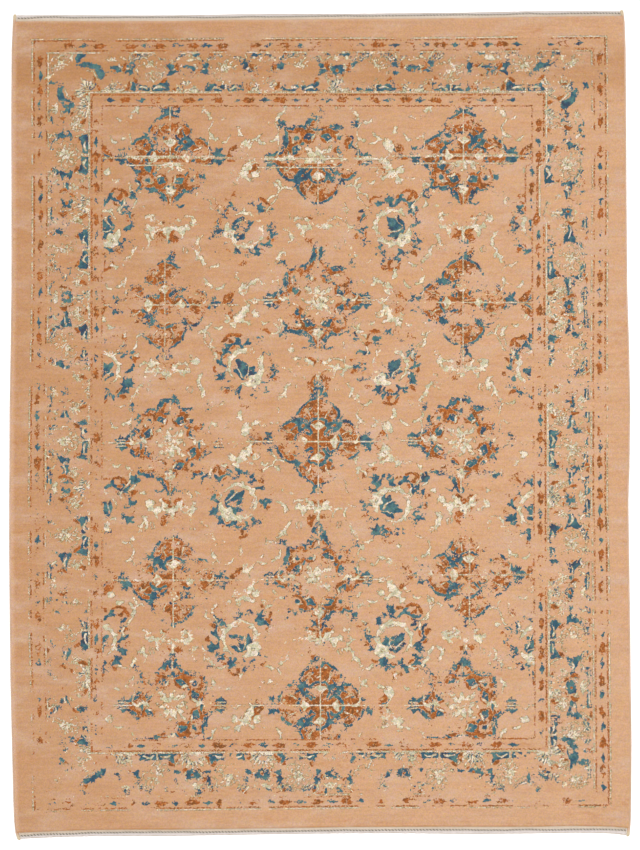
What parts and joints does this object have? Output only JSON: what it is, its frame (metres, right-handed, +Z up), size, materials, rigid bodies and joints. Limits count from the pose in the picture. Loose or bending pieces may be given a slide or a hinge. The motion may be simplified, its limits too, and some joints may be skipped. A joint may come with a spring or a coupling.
{
  "type": "persian silk rug",
  "caption": "Hand-knotted Persian rug with a peach ground, worn blue and rust floral lattice, borders and short kilim ends, laid flat.",
  "frame": {"origin": "centre of the rug's flat underside, at floor level", "axes": "+Y along the rug's length to its top end, +X across its width to the right side seen from above, +Z up out of the pile"},
  "size_m": [1.5, 2, 0.008],
  "materials": {
    "pile": "knotted wool and silk pile, peach ground with blue, rust and cream",
    "overcast": "overcast wool yarn",
    "twine": "two-tone twined cotton yarn"
  },
  "bodies": {
    "root": {"rug_cloth": "pile", "side_cord_left": "overcast", "side_cord_right": "overcast", "twined_row_top": "twine", "twined_row_foot": "twine"}
  },
  "joints": []
}
